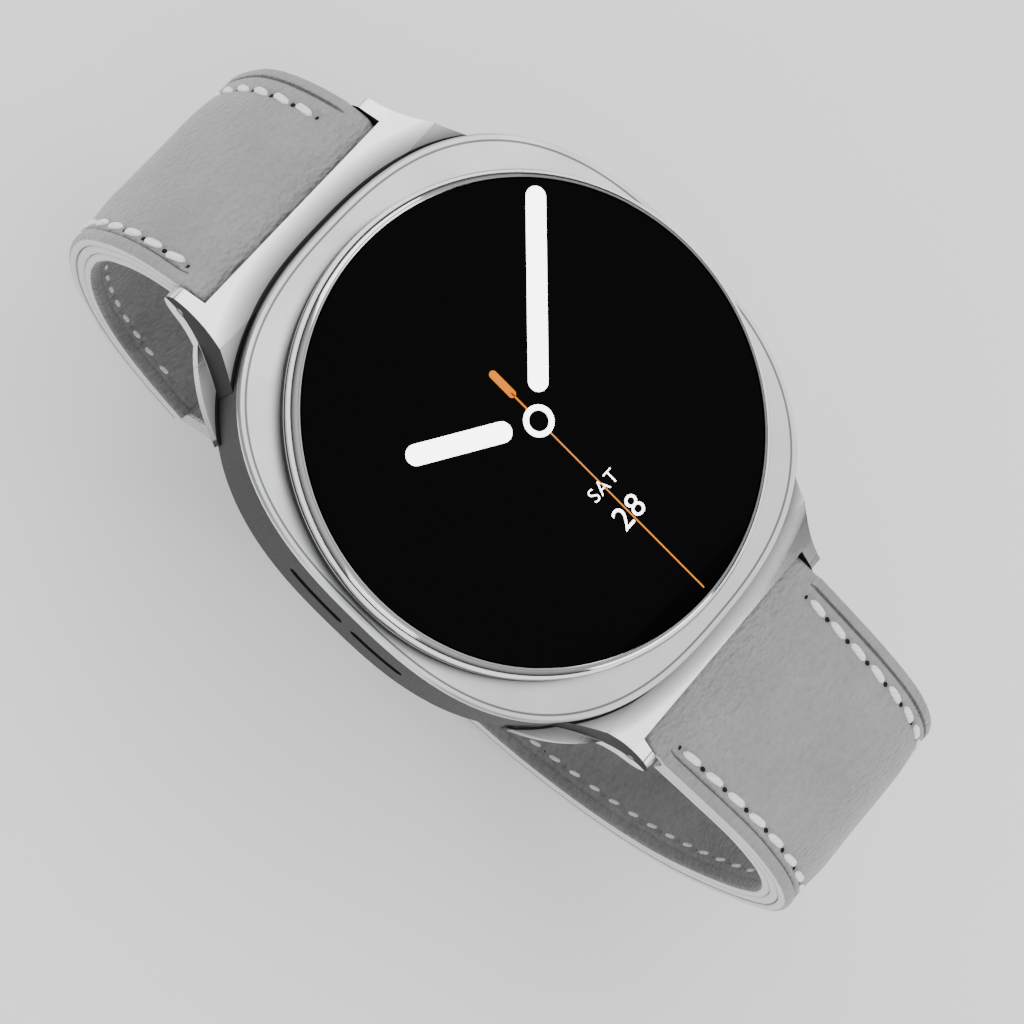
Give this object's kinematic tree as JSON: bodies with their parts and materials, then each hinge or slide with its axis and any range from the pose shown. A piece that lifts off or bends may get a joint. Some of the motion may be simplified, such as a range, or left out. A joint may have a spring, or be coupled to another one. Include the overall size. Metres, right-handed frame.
{
  "type": "smartwatch",
  "caption": "Round-display smartwatch with cushion-shaped metal case, polished end connectors and a padded grey leather strap closed in a loop by a magnetic clasp.",
  "frame": {"origin": "centre of the flat sensor window on the back of the case", "axes": "+Z out of the display, +Y to 12 o'clock, +X to 3 o'clock, where the buttons are"},
  "size_m": [0.0436, 0.083, 0.0452],
  "materials": {
    "case_side": "dark satin anodised",
    "case_plate": "fine satin",
    "polished_steel": "polished",
    "connector_chrome": "polished",
    "cover_glass": "clear over a black display",
    "display": "gloss",
    "seal": "matt",
    "flex": "satin film",
    "board": "solder mask",
    "chips": "matt",
    "plain_steel": "brushed",
    "spring_steel": "drawn wire",
    "battery": "foil pouch",
    "frame_plastic": "moulded",
    "module_black": "moulded",
    "rear_ceramic": "gloss",
    "sensor_glass": "polished",
    "copper": "enamelled copper",
    "ferrite": "matt",
    "emitters": "clear resin",
    "strap_leather": "fine grain",
    "strap_edge": "painted edge",
    "strap_lining": "smooth lining",
    "clasp_metal": "satin",
    "magnet": "nickel plated"
  },
  "bodies": {
    "case": {"case_body": "case_side", "top_plate": "case_plate", "bezel_ring": "polished_steel", "cover_glass": "cover_glass", "display_panel": "display", "display_gasket": "seal", "display_flex": "flex", "main_board": "board", "board_chips": "chips", "shield_can": "plain_steel", "battery": "battery", "inner_frame": "frame_plastic", "frame_screws": "plain_steel", "haptic_motor": "plain_steel", "speaker_module": "module_black", "speaker_mesh": "plain_steel", "microphone": "plain_steel", "button_switches": "module_black", "button_seals": "seal", "rear_cover": "rear_ceramic", "rear_electrodes": "polished_steel", "sensor_window": "sensor_glass", "rear_gasket": "seal", "charging_coil": "copper", "ferrite_sheet": "ferrite", "sensor_board": "board", "sensor_emitters": "emitters", "upper_connector": "connector_chrome", "lower_connector": "connector_chrome", "upper_case_bar": "plain_steel", "lower_case_bar": "plain_steel", "upper_case_spring": "spring_steel", "lower_case_spring": "spring_steel"},
    "upper_button": {"upper_button": "case_side", "upper_button_clip": "spring_steel"},
    "lower_button": {"lower_button": "case_side", "lower_button_clip": "spring_steel"},
    "upper_case_release": {"upper_case_release": "plain_steel"},
    "lower_case_release": {"lower_case_release": "plain_steel"},
    "upper_strap_release": {"upper_strap_release": "plain_steel"},
    "lower_strap_release": {"lower_strap_release": "plain_steel"},
    "upper_strap": {"upper_strap_leather": "strap_leather", "upper_strap_padding": "strap_edge", "upper_strap_lining": "strap_lining", "upper_strap_bar": "plain_steel", "upper_strap_spring": "spring_steel", "upper_clasp_shell": "clasp_metal", "upper_clasp_liner": "clasp_metal", "upper_clasp_magnets": "magnet", "upper_clasp_screws": "plain_steel"},
    "lower_strap": {"lower_strap_leather": "strap_leather", "lower_strap_padding": "strap_edge", "lower_strap_lining": "strap_lining", "lower_strap_bar": "plain_steel", "lower_strap_spring": "spring_steel", "lower_clasp_shell": "clasp_metal", "lower_clasp_liner": "clasp_metal", "lower_clasp_magnets": "magnet", "lower_clasp_screws": "plain_steel"}
  },
  "joints": [
    {"name": "upper_button_press", "type": "slide", "parent": "case", "child": "upper_button", "axis": [-1, 0, 0], "range_m": [0, 0.0004], "stiffness_N_per_m": 1500},
    {"name": "lower_button_press", "type": "slide", "parent": "case", "child": "lower_button", "axis": [-1, 0, 0], "range_m": [0, 0.0004], "stiffness_N_per_m": 1500},
    {"name": "upper_case_release_slide", "type": "slide", "parent": "case", "child": "upper_case_release", "axis": [1, 0, 0], "range_m": [0, 0.0012], "stiffness_N_per_m": 500},
    {"name": "lower_case_release_slide", "type": "slide", "parent": "case", "child": "lower_case_release", "axis": [1, 0, 0], "range_m": [0, 0.0012], "stiffness_N_per_m": 500},
    {"name": "upper_strap_release_slide", "type": "slide", "parent": "upper_strap", "child": "upper_strap_release", "axis": [1, 0, 0], "range_m": [0, 0.0012], "stiffness_N_per_m": 500},
    {"name": "lower_strap_release_slide", "type": "slide", "parent": "lower_strap", "child": "lower_strap_release", "axis": [1, 0, 0], "range_m": [0, 0.0012], "stiffness_N_per_m": 500},
    {"name": "upper_strap_swing", "type": "hinge", "parent": "case", "child": "upper_strap", "pos_m": [0, 0.0261, 0.0025], "axis": [1, 0, 0], "range_deg": [0, 45]},
    {"name": "lower_strap_swing", "type": "hinge", "parent": "case", "child": "lower_strap", "pos_m": [0, -0.0261, 0.0025], "axis": [-1, 0, 0], "range_deg": [0, 45]}
  ]
}
